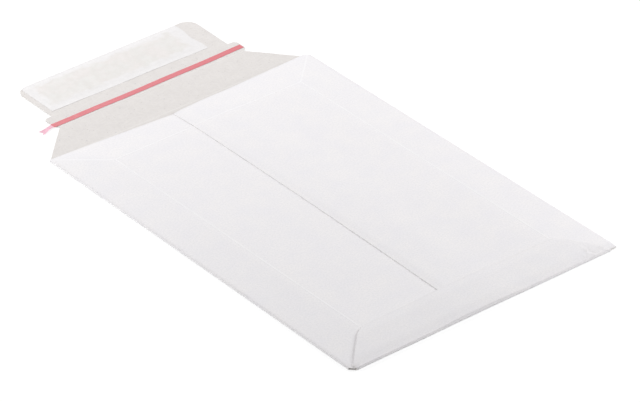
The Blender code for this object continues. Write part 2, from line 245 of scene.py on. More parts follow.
def soil_spots(x, b):
    """Soil that was left in the knocks, and rubbed into the blunt left corner: a Gaussian for each."""
    spots = 0.5 * np.exp(-((x + bottom_fold_ends[0]) ** 2 + (b - 0.002) ** 2) / 0.0013**2)
    for knock_x, knock_b, _, reach, _ in knocks:
        spots = spots + 0.5 * np.exp(-((x - knock_x) ** 2 + (b - knock_b) ** 2) / (reach / 2) ** 2)
    return spots


def bottom_flap_height(x, b):
    """The bottom flap a glue line above the panels, easing down over the seam, its edge and ends pressed."""
    over_seam = smoothstep((x - seam_at(b) + lap_fade) / (lap_fade - board))
    pressed = press * smoothstep((b - bottom_flap_depth) / press_reach + 1)
    pressed = pressed + end_press * smoothstep((np.abs(x) - by_side(x, bottom_fold_ends)) / press_reach + 1)
    return front_height(x, b) + layer_pitch * (1 + over_seam * lap_lift(x, b)) - pressed + knocked(x, b)


def bottom_fold_radius(x):
    """Middle radius of the bottom fold, which takes in the panels that it wraps."""
    return (bottom_flap_height(x, fold_line_b) - board / 2) / 2


def bottom_flap_half(x, b):
    """Half-width of the bottom flap on the side of x: a straight bevel, rounded into its top edge."""
    bevel = by_side(x, bottom_flap_bevel) * np.maximum(b - by_side(x, corner_relief), 0)
    into = np.clip(b - bottom_flap_depth + bottom_flap_corner, 0, bottom_flap_corner)
    rounding = bottom_flap_corner - np.sqrt(bottom_flap_corner**2 - into**2)
    return by_side(x, bottom_fold_ends) - bevel - rounding


taper_depth = 0.0335
taper_half = half - taper_depth
tab_reach = 0.0035
tab_depth = 0.0155
tab_corner = 0.0035
flap_end_half = taper_half - 0.0037
flap_end_corner = 0.010
flap_lift = 0.0015
flap_bow = 0.0003
tab_half = taper_half + tab_reach
tab_end = taper_depth + tab_depth


def flap_underside(x, depth):
    """Height of the closure flap's underside: on the table, sprung up at the right corner, a little bowed."""
    across = np.clip((x + flap_end_half) / (2 * flap_end_half), 0, 1)
    out = np.clip(depth / flap_reach, 0, 1)
    bow = flap_bow * np.sin(np.pi * np.clip(depth / taper_depth, 0, 1)) * (1 + np.sin(38 * x)) / 2
    return flap_lift * across * out**2 + bow


def flap_top(x, depth):
    """Height of the closure flap's inner face, which carries the tape and the adhesive."""
    return flap_underside(x, depth) + board


def spaced(start, *legs):
    """Stations from start through (stop, longest step) legs."""
    runs = [np.array([start])]
    for stop, longest in legs:
        count = max(1, math.ceil(abs(stop - runs[-1][-1]) / longest - 1e-6))
        runs.append(np.linspace(runs[-1][-1], stop, count + 1)[1:])
    return np.concatenate(runs)


def grid_faces(index):
    """Quads between the rows and columns of an array of point numbers."""
    corners = index[:-1, :-1], index[:-1, 1:], index[1:, 1:], index[1:, :-1]
    return np.stack(corners, -1).reshape(-1, 4)


fold_steps = 12
finest = 0.0003
fine = 0.00075
close = 0.0015
wide = 0.005
score_band = 0.0021
bottom_band = 0.004
mouth_band = 0.001
bend_band = 0.006
far = 0.05


def panel_columns(*lap):
    """X stations of a front panel from its fold to its free edge, as if on the right."""
    score = [(score_x + score_band, close), (score_x - score_band, finest)]
    return spaced(fold_x, (mouth_relief_x, close), *score, *lap)


def side_fold(sign, b=length):
    """Half a circle from the rear panel up to the front at b, from the rear outwards, without its ends."""
    angle = np.linspace(0, np.pi, fold_steps + 1)[1:-1]
    radius = side_fold_radius - pinch(b) / 2
    return sign * (fold_x + radius * np.sin(angle)), board / 2 + radius * (1 - np.cos(angle))


def corner_start(x, start):
    """B at which a column starts: its own start across the bottom fold, then cut back to the side fold."""
    fold_end = by_side(x, bottom_fold_ends)
    share = np.clip((np.abs(x) - fold_end) / (fold_x - fold_end), 0, 1)
    return start + (by_side(x, corner_relief) - start) * share


def front_creases(x, b):
    """Distances on the front: to the score lines, across a mouth corner's diagonal, and from that corner."""
    along_panel = np.abs(np.abs(x) - score_x) + np.maximum(gusset - b, 0) + np.maximum(b - score_b, 0)
    across_panels = np.abs(b - score_b) + np.maximum(np.abs(x) - score_x, 0)
    from_side, from_mouth = half - np.abs(x), length - b
    diagonal = (from_side - from_mouth) / math.sqrt(2)
    return np.minimum(along_panel, across_panels), diagonal, np.maximum(from_side, from_mouth)


def pocket_grid():
    """The strip round the pocket as arrays: a row for each b, a column for each place across the blank.

    The unrolled x goes on round both side folds, so it is the place across the flat blank.
    Edge, fold and crease hold each point's distance to such a line in metres, and soil and crushed
    hold shares from 0 to 1.
    """
    lower = -panel_columns((-seam_x, wide), (-seam_x - lap_width, wide))[::-1]
    lap = [(seam_x + lap_width + lap_fade, wide), (seam_x + press_reach, wide / 2), (seam_x, close / 2)]
    upper = panel_columns(*lap)
    fold_left, fold_right = -bottom_fold_ends[0], bottom_fold_ends[1]
    folded = [(fold_left, close), (knock_from, wide), (fold_right, fine * 1.5)]
    rear = spaced(-fold_x, *folded, (mouth_relief_x, close), (fold_x, close))
    left_x, right_x = side_fold(-1)[0], side_fold(1)[0]
    nominal = np.concatenate([lower, left_x[::-1], rear, right_x, upper])
    ends = np.cumsum([len(lower), len(left_x), len(rear), len(right_x)])
    is_rear = np.zeros(len(nominal), bool)
    is_rear[ends[1] : ends[2]] = True

    mouth_side = [(score_b - score_band, wide), (score_b + score_band, finest)]
    rows = spaced(0.0, (gusset + bottom_band, close), *mouth_side)
    rows = np.append(rows, spaced(rows[-1], (length - mouth_band, close), (length, finest))[1:])
    fold_from = bottom_fold_radius(nominal) + board / 2
    start = corner_start(nominal, np.where(is_rear, fold_from, panel_inset))
    stop = length - mouth_relief(nominal) - np.where(is_rear, 0, throat_depth(nominal))
    near_bottom = np.clip(1 - rows / gusset, 0, 1)[:, None]
    near_mouth = np.clip((rows - score_b - score_band) / (gusset - score_band), 0, 1)[:, None]
    b = rows[:, None] + start * near_bottom + (stop - length) * near_mouth

    x = np.broadcast_to(nominal, b.shape).copy()
    z = np.full(b.shape, board / 2)
    for columns, height in ((slice(0, ends[0]), lower_height), (slice(ends[3], None), upper_height)):
        x[:, columns] = slanted(x[:, columns], b[:, columns])
        z[:, columns] = height(x[:, columns], b[:, columns])
    on_left, on_right = slice(ends[0], ends[1]), slice(ends[2], ends[3])
    folded_x, folded_z = side_fold(-1, b[:, on_left][:, ::-1])
    x[:, on_left], z[:, on_left] = folded_x[:, ::-1], folded_z[:, ::-1]
    x[:, on_right], z[:, on_right] = side_fold(1, b[:, on_right])

    arc = np.pi * side_fold_radius
    turn = np.linspace(0, arc, fold_steps + 1)[1:-1]
    unrolled = x.copy()
    unrolled[:, : ends[0]] = -2 * fold_x - arc - x[:, : ends[0]]
    unrolled[:, ends[0] : ends[1]] = -fold_x - turn[::-1]
    unrolled[:, ends[2] : ends[3]] = fold_x + turn
    unrolled[:, ends[3] :] = 2 * fold_x + arc - x[:, ends[3] :]

    fold = np.maximum(np.abs(np.abs(unrolled) - fold_x - arc / 2) - arc / 2, 0)
    on_front = np.abs(unrolled) > fold_x + arc / 2
    score, diagonal, corner = front_creases(x, b)
    crease = np.where(on_front, score, length - b)
    along_mouth = np.where(is_rear, far, np.minimum(b[-1:] - b, b - b[:1]))
    edge = np.minimum(np.minimum(unrolled - unrolled[:, :1], unrolled[:, -1:] - unrolled), along_mouth)
    crushed = lap_pressed(x, b) * (np.arange(len(nominal)) >= ends[3])
    grid = dict(x=x, b=b, z=z, u=unrolled, v=b, fold=fold, crease=crease, edge=edge, crushed=crushed)
    grid.update(diagonal=diagonal, corner=np.where(on_front, corner, far), soil=soil_spots(x, b) * is_rear)
    return grid, slice(ends[1], ends[2]), rear


def bottom_flap_grid(x, fold_from):
    """The bottom fold, a half circle as wide as what it wraps, and the bevelled flap, row by row."""
    angle = np.linspace(0, np.pi, fold_steps + 1)[1:, None]
    radius = bottom_fold_radius(x)
    relief = max(corner_relief)
    corner_from = bottom_flap_depth - bottom_flap_corner
    round_in = corner_from + bottom_flap_corner * np.sin(np.linspace(0, np.pi / 2, fold_steps)[1:])
    near = fold_from + (relief - fold_from) * spaced(0.0, (1.0, fine / relief))[1:, None]
    far_rows = spaced(relief, (knock_reach, fine), (corner_from, close))[1:]
    far_rows = np.concatenate([far_rows, round_in])[:, None]
    depth = np.vstack([near, np.broadcast_to(far_rows, (len(far_rows), len(x)))])
    narrowed = x / by_side(x, bottom_fold_ends) * bottom_flap_half(x, depth)
    round_fold = (fold_steps, len(x))
    across = np.vstack([np.broadcast_to(x, round_fold), narrowed])
    b = np.vstack([fold_from - radius * np.sin(angle), depth])
    z = np.vstack([board / 2 + radius * (1 - np.cos(angle)), bottom_flap_height(narrowed, depth)])
    v = np.vstack([fold_from - radius * angle, 2 * fold_from - np.pi * radius - depth])
    fold = np.vstack([np.zeros(round_fold), depth - fold_from])
    ends = np.broadcast_to(by_side(x, bottom_fold_ends), round_fold)
    half_width = np.vstack([ends, bottom_flap_half(x, depth)])
    edge = np.minimum(half_width - np.abs(across), bottom_flap_depth - np.maximum(b, 0))
    away = np.full(b.shape, far)
    grid = dict(x=across, b=b, z=z, u=across, v=v, fold=fold, crease=away, edge=edge)
    grid.update(diagonal=away, corner=away, soil=soil_spots(across, b), crushed=np.zeros(b.shape))
    return grid


def arc_points(centre, centre_half, radius, turn_from, turn_to):
    """Depth and half-width along a round corner, with angles in degrees from the depth direction."""
    turn = np.radians(np.linspace(turn_from, turn_to, fold_steps))
    return np.stack([centre + radius * np.cos(turn), centre_half + radius * np.sin(turn)], -1)


def flap_edge():
    """The closure flap's edge as (depth, half-width): taper, nick at the score line, tab and round end."""
    nick = 0.0012
    bend_rows = [(bend_band, finest), (taper_depth - score_band, close), (taper_depth - nick, finest)]
    bend_rows = spaced(0.0, *bend_rows)[1:]
    narrowing = (fold_x - taper_half - nick) / (taper_depth - nick)
    taper = np.stack([bend_rows, fold_x - bend_rows * narrowing], -1)
    into = spaced(-nick, (0.0, finest), (nick, finest))[1:]
    notch = np.stack([taper_depth + into, taper_half + np.abs(into)], -1)
    tab_start = np.stack([spaced(taper_depth + nick, (taper_depth + tab_reach, finest))[1:]] * 2, -1)
    tab_start[:, 1] += taper_half - taper_depth
    tab = arc_points(tab_end - tab_corner, tab_half - tab_corner, tab_corner, 90, 10)
    straight = spaced(taper_depth + tab_reach, (tab_end - tab_corner, close))[1:-1]
    straight = np.stack([straight, np.full(len(straight), tab_half)], -1)
    end_from = flap_reach - flap_end_corner
    side = spaced(tab_end, (end_from, close))[:-1]
    side = np.stack([side, np.full(len(side), flap_end_half)], -1)
    end = arc_points(end_from, flap_end_half - flap_end_corner, flap_end_corner, 90, 0)
    return np.concatenate([taper, notch, tab_start, straight, tab, side, end])


def closure_flap_grid(x):
    """The flap past the mouth, whose columns draw together or apart with its edge, cut in at the right."""
    edge_line = flap_edge()
    depth, half_width = edge_line[:, :1], edge_line[:, 1:]
    right_cut = (fold_x - mouth_relief_x) * np.clip(1 - depth / taper_depth, 0, 1)
    half_width = np.where(x < 0, half_width, half_width - right_cut)
    across = x / by_side(x, (fold_x, mouth_relief_x)) * half_width
    depth = np.broadcast_to(depth, across.shape)
    z = flap_underside(across, depth) + board / 2 + bead(depth - taper_depth)
    crease = np.minimum(np.abs(depth - taper_depth), depth)
    edge = np.minimum(half_width - np.abs(across), flap_reach - depth)
    away = np.full(z.shape, far)
    b = length + depth
    grid = dict(x=across, b=b, z=z, u=across, v=b, fold=away, crease=crease, edge=edge)
    grid.update(diagonal=away, corner=away, soil=np.zeros(z.shape), crushed=np.zeros(z.shape))
    return grid


def folded_board():
    """The three grids joined into one middle surface, with its place on the blank as a UV map.

    The vertex group called thickness says where the lap's free edge is crushed thinner.
    """
    strip, rear_columns, rear = pocket_grid()
    wrapped = (rear > -bottom_fold_ends[0] - board / 2) & (rear < bottom_fold_ends[1] + board / 2)
    fold_from = (bottom_fold_radius(rear) + board / 2)[wrapped]
    hinged = rear < mouth_relief_x + board / 2
    grids = strip, bottom_flap_grid(rear[wrapped], fold_from), closure_flap_grid(rear[hinged])
    first = np.cumsum([0] + [grid["x"].size for grid in grids])
    index = [start + np.arange(grid["x"].size).reshape(grid["x"].shape) for start, grid in zip(first, grids)]
    rear_index = index[0][:, rear_columns]
    bottom = np.vstack([rear_index[:1, wrapped], index[1]])[::-1]
    closure = np.vstack([rear_index[-1:, hinged], index[2]])
    faces = np.concatenate([grid_faces(part) for part in (index[0], bottom, closure)])[:, ::-1]
    column = {name: np.concatenate([grid[name].ravel() for grid in grids]) for name in strip}
    points = np.stack([column["x"], column["b"] + foot_y, column["z"]], -1)

    mesh = bpy.data.meshes.new("board")
    mesh.from_pydata(points.tolist(), [], faces.tolist())
    blank = mesh.uv_layers.new(name="blank")
    corner_point = np.empty(len(mesh.loops), np.int32)
    mesh.loops.foreach_get("vertex_index", corner_point)
    uv = np.stack([column["u"], column["v"]], -1)[corner_point]
    blank.data.foreach_set("uv", uv.astype(np.float32).ravel())
    for name in ("fold", "crease", "edge", "diagonal", "corner", "soil"):
        mesh.attributes.new(name, "FLOAT", "POINT").data.foreach_set("value", column[name].astype(np.float32))
    sheet = bpy.data.objects.new("folded_board", mesh)
    bpy.context.scene.collection.objects.link(sheet)
    thickness = sheet.vertex_groups.new(name="thickness")
    shares = np.round(1 - lap_thinning * column["crushed"], 2)
    for share in np.unique(shares):
        thickness.add(np.flatnonzero(shares == share).tolist(), float(share), "REPLACE")
    return sheet


die_crush = 0.00022
sharp_angle = 35
cut_angle = 60


def finish_mesh(piece):
    """Applies the piece's modifiers, shades it smooth and keeps its cut edges sharp."""
    graph = bpy.context.evaluated_depsgraph_get()
    mesh = bpy.data.meshes.new_from_object(piece.evaluated_get(graph))
    piece.modifiers.clear()
    piece.vertex_groups.clear()
    piece.data = mesh
    mesh.shade_smooth()
    mesh.set_sharp_from_angle(angle=math.radians(sharp_angle))


def give_thickness(piece, thickness, rim_offset=0, back_offset=0, crush=0.0):
    """A closed sheet round the middle surface, with other material slots for its back and its cut edge.

    A vertex group called thickness makes it thinner where the board is crushed. The crush is how far
    the die has rounded the corners of the cut edge.
    """
    solid = piece.modifiers.new("Sheet", "SOLIDIFY")
    solid.thickness = thickness
    solid.vertex_group = "thickness" if "thickness" in piece.vertex_groups else ""
    solid.offset = 0.0
    solid.use_even_offset = True
    solid.use_quality_normals = True
    solid.material_offset = back_offset
    solid.material_offset_rim = rim_offset
    if crush:
        bevel = piece.modifiers.new("Crushed edge", "BEVEL")
        bevel.width = crush
        bevel.segments = 2
        bevel.limit_method = "ANGLE"
        bevel.angle_limit = math.radians(cut_angle)


def give_input(tree, socket, value):
    """Joins a socket to another node's output, or sets it to a plain value."""
    if isinstance(value, bpy.types.NodeSocket):
        tree.links.new(value, socket)
    else:
        socket.default_value = value


def add_node(tree, kind, inputs=None, **settings):
    """A shader node with its settings, each named input given a value or another node's output."""
    node = tree.nodes.new("ShaderNode" + kind)
    for name, value in settings.items():
        setattr(node, name, value)
    for name, value in (inputs or {}).items():
        give_input(tree, node.inputs[name], value)
    return node


def new_group(name, inputs, outputs):
    """An empty shader group with named sockets, given as (name, kind, value) in and (name, kind) out."""
    group = bpy.data.node_groups.new(name, "ShaderNodeTree")
    for label, kind, value in inputs:
        socket = group.interface.new_socket(label, in_out="INPUT", socket_type="NodeSocket" + kind)
        socket.default_value = value
    for label, kind in outputs:
        group.interface.new_socket(label, in_out="OUTPUT", socket_type="NodeSocket" + kind)
    return group, group.nodes.new("NodeGroupInput").outputs, group.nodes.new("NodeGroupOutput").inputs


def use_group(tree, group, inputs):
    """A copy of a shader group placed in the tree, with its own values."""
    node = tree.nodes.new("ShaderNodeGroup")
    node.node_tree = group
    for name, value in inputs.items():
        give_input(tree, node.inputs[name], value)
    return node.outputs


def math_node(tree, operation, a, b=0.0, clamp=False):
    """One sum on two values, each a number or another node's output."""
    node = add_node(tree, "Math", {0: a, 1: b}, operation=operation)
    node.use_clamp = clamp
    return node.outputs[0]


def mix_colour(tree, share, a, b):
    """Colour a at share 0 and colour b at share 1, each three linear values or another node's output."""
    a, b = (value if isinstance(value, bpy.types.NodeSocket) else (*value, 1.0) for value in (a, b))
    return add_node(tree, "Mix", {0: share, 6: a, 7: b}, data_type="RGBA").outputs[2]


def ramp(tree, value, low, high, to_low=0.0, to_high=1.0):
    """A value mapped from low..high to to_low..to_high, and held there."""
    named = {"Value": value, "From Min": low, "From Max": high, "To Min": to_low, "To Max": to_high}
    return add_node(tree, "MapRange", named).outputs[0]


def noise(tree, place, scale, detail=2.0, roughness=0.5):
    """Cloudy noise from 0 to 1, with its scale in clouds to the metre."""
    named = {"Vector": place, "Scale": scale, "Detail": detail, "Roughness": roughness}
    return add_node(tree, "TexNoise", named).outputs[0]


def stretched(tree, place, turn, scale):
    """The place turned by some degrees and scaled along its axes, so that a pattern runs one way."""
    named = {"Vector": place, "Rotation": (0.0, 0.0, math.radians(turn)), "Scale": scale}
    return add_node(tree, "Mapping", named, vector_type="TEXTURE").outputs[0]


def point_value(tree, name):
    """A value that the mesh holds at its points."""
    return add_node(tree, "Attribute", attribute_name=name).outputs["Fac"]


def near_line(tree, name, reach):
    """1 on a line and 0 from the reach outwards, from the point value that holds the distance to it."""
    return ramp(tree, math_node(tree, "ABSOLUTE", point_value(tree, name)), 0.0, reach, 1.0, 0.0)


def fibre_group():
    """Matted paper fibres: long thin noise laid in three directions, whose highest strands lie on top."""
    sockets = [("Place", "Vector", (0.0, 0.0, 0.0)), ("Scale", "Float", 900.0)]
    group, given, made = new_group("paper_fibres", sockets, [("Strands", "Float"), ("Height", "Float")])
    strands = []
    for turn in (12.0, 71.0, 128.0):
        place = stretched(group, given["Place"], turn, (5.0, 1.0, 1.0))
        strands.append(noise(group, place, given["Scale"], 1.5))
    top = math_node(group, "MAXIMUM", math_node(group, "MAXIMUM", strands[0], strands[1]), strands[2])
    fine_scale = math_node(group, "MULTIPLY", given["Scale"], 2.3)
    grain = noise(group, given["Place"], fine_scale, 2.0)
    height = math_node(group, "ADD", top, math_node(group, "MULTIPLY", grain, 0.5))
    group.links.new(ramp(group, top, 0.45, 0.75), made["Strands"])
    group.links.new(height, made["Height"])
    return group


def handling_group():
    """Marks of handling: soil in broken patches at edges, folds and spots, and thin rubbed streaks."""
    sockets = [
        ("Color", "Color", (0.9, 0.9, 0.9, 1.0)),
        ("Soil Color", "Color", (0.5, 0.48, 0.45, 1.0)),
        ("Place", "Vector", (0.0, 0.0, 0.0)),
        ("Edge", "Float", 0.0),
        ("Fold", "Float", 0.0),
        ("Spots", "Float", 0.0),
        ("Amount", "Float", 0.5),
    ]
    group, given, made = new_group("handling_marks", sockets, [("Color", "Color"), ("Mask", "Float")])
    patches = ramp(group, noise(group, given["Place"], 140.0, 4.0, 0.6), 0.48, 0.68)
    crumbs = ramp(group, noise(group, given["Place"], 1100.0, 3.0, 0.6), 0.50, 0.66)
    broken = math_node(group, "MULTIPLY", patches, crumbs)
    at_folds = math_node(group, "MULTIPLY", given["Fold"], 0.6)
    near = math_node(group, "ADD", given["Edge"], at_folds, clamp=True)
    at_lines = math_node(group, "MULTIPLY", math_node(group, "ADD", broken, 0.12), near)
    in_spots = math_node(group, "MULTIPLY", math_node(group, "ADD", crumbs, 0.5), given["Spots"])
    rub_place = stretched(group, given["Place"], 34.0, (14.0, 1.0, 1.0))
    rubs = ramp(group, noise(group, rub_place, 420.0, 1.0), 0.73, 0.80, 0.0, 0.16)
    rubs = math_node(group, "MULTIPLY", rubs, ramp(group, noise(group, given["Place"], 18.0), 0.5, 0.7))
    mask = math_node(group, "ADD", math_node(group, "ADD", at_lines, in_spots), rubs)
    mask = math_node(group, "MULTIPLY", mask, given["Amount"], clamp=True)
    group.links.new(mix_colour(group, mask, given["Color"], given["Soil Color"]), made["Color"])
    group.links.new(mask, made["Mask"])
    return group


def new_material(name):
    """A new material, its node tree and its shader."""
    material = bpy.data.materials.new(name)
    material.use_nodes = True
    return material, material.node_tree, material.node_tree.nodes["Principled BSDF"]


def set_surface(tree, shader, colour, roughness, height=None, depth=0.0, bump=1.0):
    """Joins colour and roughness to the shader, and a height as a bump of the given depth in metres."""
    give_input(tree, shader.inputs["Base Color"], colour)
    give_input(tree, shader.inputs["Roughness"], roughness)
    if height is not None:
        raised = add_node(tree, "Bump", {"Height": height, "Distance": depth, "Strength": bump})
        tree.links.new(raised.outputs[0], shader.inputs["Normal"])


paper_fibres = fibre_group()
handling_marks = handling_group()
fold_mark = 0.0025
edge_mark = 0.0020
# How far the painted highlight along the creases reaches
crease_highlight_reach = 0.0009


def soiled(tree, place, colour, soil_colour, amount):
    """The colour with the marks that handling leaves at the board's own edges, folds and spots."""
    lines = {"Edge": near_line(tree, "edge", edge_mark), "Fold": near_line(tree, "fold", fold_mark)}
    marks = {"Color": colour, "Soil Color": (*soil_colour, 1.0), "Place": place, "Amount": amount}
    return use_group(tree, handling_marks, {**lines, **marks, "Spots": point_value(tree, "soil")})["Color"]


def white_coated_side():
    """White clay coating with a faint mottle, and a painted highlight along the scored creases and hips."""
    material, tree, shader = new_material("white_coated_board")
    place = add_node(tree, "UVMap", uv_map="blank").outputs[0]
    fibres = use_group(tree, paper_fibres, {"Place": place, "Scale": 650.0})
    mottle = ramp(tree, noise(tree, place, 55.0, 4.0, 0.6), 0.35, 0.65)
    colour = mix_colour(tree, mottle, (0.917, 0.899, 0.923), (0.949, 0.925, 0.929))
    grain = ramp(tree, noise(tree, place, 800.0, 3.0, 0.7), 0.38, 0.62)
    colour = mix_colour(tree, math_node(tree, "MULTIPLY", grain, 0.60), colour, (0.82, 0.81, 0.83))
    # Painted highlight: the colour is lighter along the score lines and the diagonal hips at the mouth
    # corners, where their crests catch the light.
    in_corner = ramp(tree, point_value(tree, "corner"), gusset - 0.001, gusset, 1.0, 0.0)
    diagonal = math_node(tree, "MULTIPLY", near_line(tree, "diagonal", crease_highlight_reach), in_corner)
    crease = math_node(tree, "MAXIMUM", near_line(tree, "crease", crease_highlight_reach), diagonal)
    colour = mix_colour(tree, math_node(tree, "MULTIPLY", crease, 0.6), colour, (0.97, 0.96, 0.97))
    colour = soiled(tree, place, colour, (0.50, 0.47, 0.46), 0.42)
    roughness = ramp(tree, fibres["Strands"], 0.0, 1.0, 0.72, 0.82)
    set_surface(tree, shader, colour, roughness, fibres["Height"], 0.00003, 0.5)
    shader.inputs["Specular IOR Level"].default_value = 0.12
    return material


def grey_inner_side():
    """Unbleached recycled liner: warm grey, cloudy, with small dark and pale flecks of print and fibre."""
    material, tree, shader = new_material("grey_recycled_board")
    place = add_node(tree, "UVMap", uv_map="blank").outputs[0]
    fibres = use_group(tree, paper_fibres, {"Place": place, "Scale": 600.0})
    clouds = ramp(tree, noise(tree, place, 110.0, 5.0, 0.65), 0.3, 0.7)
    colour = mix_colour(tree, clouds, (0.732, 0.700, 0.684), (0.775, 0.742, 0.724))
    strands = math_node(tree, "MULTIPLY", fibres["Strands"], 0.4)
    colour = mix_colour(tree, strands, colour, (0.87, 0.845, 0.825))
    grain = ramp(tree, noise(tree, place, 1500.0, 3.0, 0.7), 0.52, 0.72)
    colour = mix_colour(tree, math_node(tree, "MULTIPLY", grain, 0.30), colour, (0.62, 0.59, 0.57))
    flecks = (800.0, 0.016, 0.35, (0.36, 0.32, 0.29)), (620.0, 0.005, 0.35, (0.30, 0.32, 0.38))
    for scale, most, share, fleck in flecks:
        cells = add_node(tree, "TexVoronoi", {"Vector": place, "Scale": scale}, voronoi_dimensions="2D")
        chosen = add_node(tree, "SeparateColor", {0: cells.outputs["Color"]})
        rare = math_node(tree, "LESS_THAN", chosen.outputs[0], most)
        small = ramp(tree, cells.outputs["Distance"], 0.18, 0.42, share, 0.0)
        colour = mix_colour(tree, math_node(tree, "MULTIPLY", rare, small), colour, fleck)
    # Painted highlight: the colour is paler along the creases, where their crests catch the light.
    crease = math_node(tree, "MULTIPLY", near_line(tree, "crease", crease_highlight_reach), 0.4)
    colour = mix_colour(tree, crease, colour, (0.88, 0.86, 0.84))
    colour = soiled(tree, place, colour, (0.52, 0.48, 0.44), 0.35)
    roughness = ramp(tree, fibres["Strands"], 0.0, 1.0, 0.78, 0.88)
    set_surface(tree, shader, colour, roughness, fibres["Height"], 0.00004, 0.6)
    shader.inputs["Specular IOR Level"].default_value = 0.2
    return material


def cut_edge_side():
    """The grey core laid bare by the die: speckled with fibres, and paler in patches."""
    material, tree, shader = new_material("cut_board_edge")
    place = add_node(tree, "UVMap", uv_map="blank").outputs[0]
    specks = noise(tree, place, 1600.0, 3.0, 0.7)
    patches = noise(tree, place, 160.0, 2.0)
    colour = mix_colour(tree, ramp(tree, specks, 0.3, 0.7), (0.80, 0.775, 0.75), (0.87, 0.85, 0.835))
    colour = mix_colour(tree, ramp(tree, patches, 0.4, 0.7, 0.0, 0.5), colour, (0.89, 0.875, 0.865))
    set_surface(tree, shader, colour, 0.9, specks, 0.00008, 0.6)
    return material


board_piece = folded_board()
for side in (white_coated_side(), grey_inner_side(), cut_edge_side()):
    board_piece.data.materials.append(side)
give_thickness(board_piece, board, rim_offset=2, back_offset=1, crush=die_crush)
finish_mesh(board_piece)
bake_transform(board_piece)
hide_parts("pocket", "closure_flap")

# The glue: a dispersion adhesive run in a line down the lap of the side panels, and another under the
# bottom flap. Each is pressed to a thin, dull, yellowish film between the boards that it holds.


def dried_glue():
    """Dried dispersion adhesive: pooled thick and thin, and full of small bubbles."""
    material, tree, shader = new_material("dried_board_glue")
    place = add_node(tree, "TexCoord").outputs["Object"]
    pools = ramp(tree, noise(tree, place, 260.0, 3.0, 0.6), 0.35, 0.65)
    colour = mix_colour(tree, pools, (0.80, 0.77, 0.69), (0.66, 0.61, 0.50))
    bubbles = noise(tree, place, 1900.0, 1.0)
    set_surface(tree, shader, colour, ramp(tree, pools, 0.0, 1.0, 0.35, 0.6), bubbles, 0.00005, 0.4)
    return material


glue_film = dried_glue()
for name in ("seam_glue", "bottom_glue"):
    frame["nodes"][name].data.materials.clear()
    frame["nodes"][name].data.materials.append(glue_film)

# The tear tape: a 5 mm red plastic tape stuck to the flap's inner face from tab to tab, laid a little
# askew. Past the left tab it runs on as a narrow free tail, which spreads to a forked end.
tape_width = 0.005
tape_thickness = 0.0001
tape_offset = 0.0054
tape_wander = 0.0024
tape_waver = 0.00015
tape_inset = 0.0007
tape_seat = 0.0001
tail_length = 0.0125
tail_neck_length = 0.001
tail_neck_width = 0.0034
tail_end_width = 0.0054
tail_sway = 0.0027
tail_notch = 0.0022
tail_cup = 0.5
tail_sag = 0.85
tape_ripple = 0.00002


def new_piece(name, x, y, z, materials, thickness, **attributes):
    """A thin closed sheet round a grid of points, with its rows along +Y, and named point values."""
    points = np.stack([x, y, z], -1).reshape(-1, 3)
    mesh = bpy.data.meshes.new(name)
    mesh.from_pydata(points.tolist(), [], grid_faces(np.arange(x.size).reshape(x.shape)).tolist())
    for label, value in attributes.items():
        values = np.broadcast_to(value, x.shape).astype(np.float32).ravel()
        mesh.attributes.new(label, "FLOAT", "POINT").data.foreach_set("value", values)
    for material in materials:
        mesh.materials.append(material)
    piece = bpy.data.objects.new(name, mesh)
    bpy.context.scene.collection.objects.link(piece)
    give_thickness(piece, thickness)
    finish_mesh(piece)
    return piece


def tape_line(x):
    """B of the tape's middle: a parabola from one tab to the other, with a slow waver."""
    share = (x + tab_half) / (2 * tab_half)
    wander = tape_wander * (share**2 - 0.5) + tape_waver * np.sin(95 * x)
    return length + taper_depth + tape_offset + wander


def tear_tape_points():
    """The tape, rows across and columns along: flat on the board, then a tail that sways, sinks, spreads.

    The tail's sideways sway and its fall are a smoothstep of the way along it, and its section is an
    arc that curls up with it. Two straight cuts make the fork.
    """
    edge = tab_half - tape_inset
    neck_at = -tab_half - tail_neck_length
    tail_columns = [(neck_at, tail_length / 24), (-tab_half, tail_neck_length / 4)]
    x = spaced(-tab_half - tail_length, *tail_columns, (edge, 0.0012))
    tail = np.clip((-tab_half - x) / tail_length, 0, 1)
    free = smoothstep(tail)
    across = np.linspace(-0.5, 0.5, 9)[:, None]
    necked = smoothstep((-tab_half - x) / tail_neck_length)
    width = tape_width + (tail_neck_width - tape_width) * necked
    width = width + (tail_end_width - tail_neck_width) * free**2
    cup = tail_cup * free + 1e-4
    b = tape_line(np.maximum(x, -tab_half)) - tail_sway * free + width * np.sin(cup * across) / cup
    on_board = flap_top(x, b - length) + tape_seat + tape_thickness / 2
    ripple = tape_ripple * (1 + np.sin(410 * x + 3 * across)) * (1 - tail)
    rise = width * (1 - np.cos(cup * across)) / cup
    z = on_board + ripple + (tape_thickness - on_board) * free * tail_sag + rise
    fork = tail_notch * (1 - 2 * np.abs(across)) * smoothstep((tail - 0.55) / 0.45)
    return np.broadcast_to(x, b.shape) + fork, b + foot_y, z, tail


def red_tape():
    """Salmon-red film: fine drawn streaks along it, paler where the free tail lets the light through."""
    material, tree, shader = new_material("red_tear_tape")
    place = add_node(tree, "TexCoord").outputs["Object"]
    streaks = noise(tree, stretched(tree, place, 0.0, (30.0, 1.0, 1.0)), 2400.0, 2.0)
    mottle = noise(tree, place, 320.0, 3.0)
    colour = mix_colour(tree, ramp(tree, streaks, 0.35, 0.65), (0.655, 0.160, 0.186), (0.690, 0.186, 0.212))
    colour = mix_colour(tree, ramp(tree, mottle, 0.45, 0.7, 0.0, 0.3), colour, (0.705, 0.240, 0.266))
    free = ramp(tree, point_value(tree, "tail"), 0.0, 0.08)
    colour = mix_colour(tree, free, colour, (0.83, 0.455, 0.56))
    set_surface(tree, shader, colour, ramp(tree, mottle, 0.3, 0.7, 0.45, 0.58), streaks, 0.00001, 0.5)
    shader.inputs["Specular IOR Level"].default_value = 0.3
    return material


*tape_points, tape_tail = tear_tape_points()
tape_piece = new_piece("tear_tape_strip", *tape_points, [red_tape()], tape_thickness, tail=tape_tail)
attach(tape_piece, "closure_body")
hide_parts("tear_tape")

